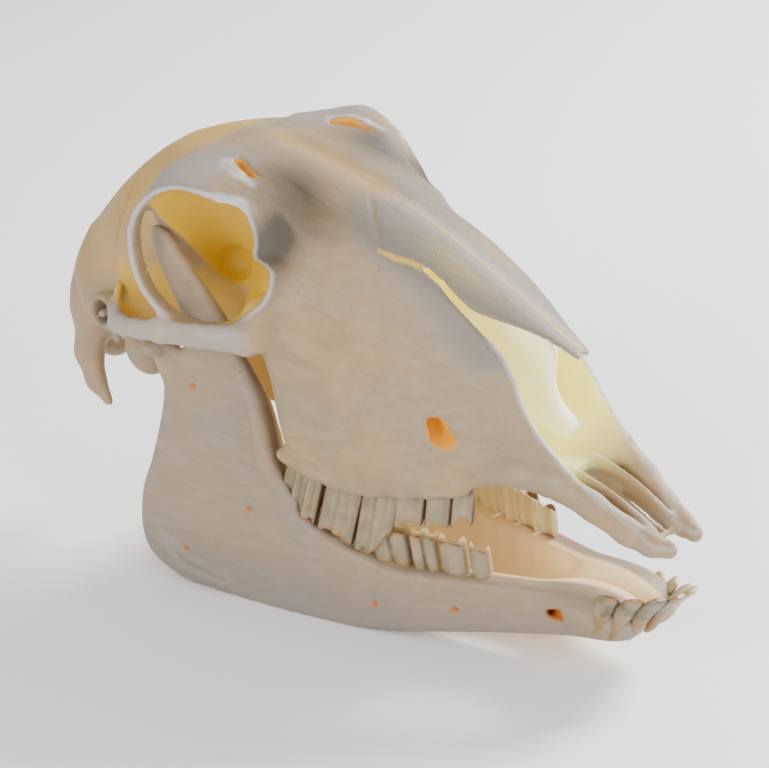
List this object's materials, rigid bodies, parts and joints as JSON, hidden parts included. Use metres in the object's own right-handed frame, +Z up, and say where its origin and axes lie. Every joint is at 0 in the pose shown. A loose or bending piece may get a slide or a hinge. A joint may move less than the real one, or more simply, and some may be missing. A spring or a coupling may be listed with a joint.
{
  "type": "sheep skull",
  "caption": "Dry sheep skull with its lower jaw and teeth, standing on the underside of the jaw; for study, display and drawing",
  "frame": {"origin": "Middle of the bounding box in plan, at the lowest point: the flat undersides of the two jaw bones.", "axes": "+X towards the snout along the length, +Y to the animal's left, +Z up when the skull stands on its jaw."},
  "size_m": [0.24, 0.1073, 0.1489],
  "materials": {
    "bone cranium": "dry bone, satin",
    "bone jaw right": "dry bone, satin",
    "tooth right upper molar_3": "enamel, worn",
    "tooth right lower molar_3": "enamel, worn",
    "tooth right upper molar_2": "enamel, worn",
    "tooth right lower molar_2": "enamel, worn",
    "tooth right upper molar_1": "enamel, worn",
    "tooth right lower molar_1": "enamel, worn",
    "tooth right upper premolar_4": "enamel, worn",
    "tooth right lower premolar_4": "enamel, worn",
    "tooth right upper premolar_3": "enamel, worn",
    "tooth right lower premolar_3": "enamel, worn",
    "tooth right upper premolar_2": "enamel, worn",
    "tooth right lower premolar_2": "enamel, worn",
    "bone jaw left": "dry bone, satin",
    "tooth left upper molar_3": "enamel, worn",
    "tooth left lower molar_3": "enamel, worn",
    "tooth left upper molar_2": "enamel, worn",
    "tooth left lower molar_2": "enamel, worn",
    "tooth left upper molar_1": "enamel, worn",
    "tooth left lower molar_1": "enamel, worn",
    "tooth left upper premolar_4": "enamel, worn",
    "tooth left lower premolar_4": "enamel, worn",
    "tooth left upper premolar_3": "enamel, worn",
    "tooth left lower premolar_3": "enamel, worn",
    "tooth left upper premolar_2": "enamel, worn",
    "tooth left lower premolar_2": "enamel, worn"
  },
  "bodies": {
    "root": {"cranium": "bone cranium", "mandible_right": "bone jaw right", "upper_molar_3_right": "tooth right upper molar_3", "lower_molar_3_right": "tooth right lower molar_3", "upper_molar_2_right": "tooth right upper molar_2", "lower_molar_2_right": "tooth right lower molar_2", "upper_molar_1_right": "tooth right upper molar_1", "lower_molar_1_right": "tooth right lower molar_1", "upper_premolar_4_right": "tooth right upper premolar_4", "lower_premolar_4_right": "tooth right lower premolar_4", "upper_premolar_3_right": "tooth right upper premolar_3", "lower_premolar_3_right": "tooth right lower premolar_3", "upper_premolar_2_right": "tooth right upper premolar_2", "lower_premolar_2_right": "tooth right lower premolar_2", "mandible_left": "bone jaw left", "upper_molar_3_left": "tooth left upper molar_3", "lower_molar_3_left": "tooth left lower molar_3", "upper_molar_2_left": "tooth left upper molar_2", "lower_molar_2_left": "tooth left lower molar_2", "upper_molar_1_left": "tooth left upper molar_1", "lower_molar_1_left": "tooth left lower molar_1", "upper_premolar_4_left": "tooth left upper premolar_4", "lower_premolar_4_left": "tooth left lower premolar_4", "upper_premolar_3_left": "tooth left upper premolar_3", "lower_premolar_3_left": "tooth left lower premolar_3", "upper_premolar_2_left": "tooth left upper premolar_2", "lower_premolar_2_left": "tooth left lower premolar_2"}
  },
  "joints": []
}
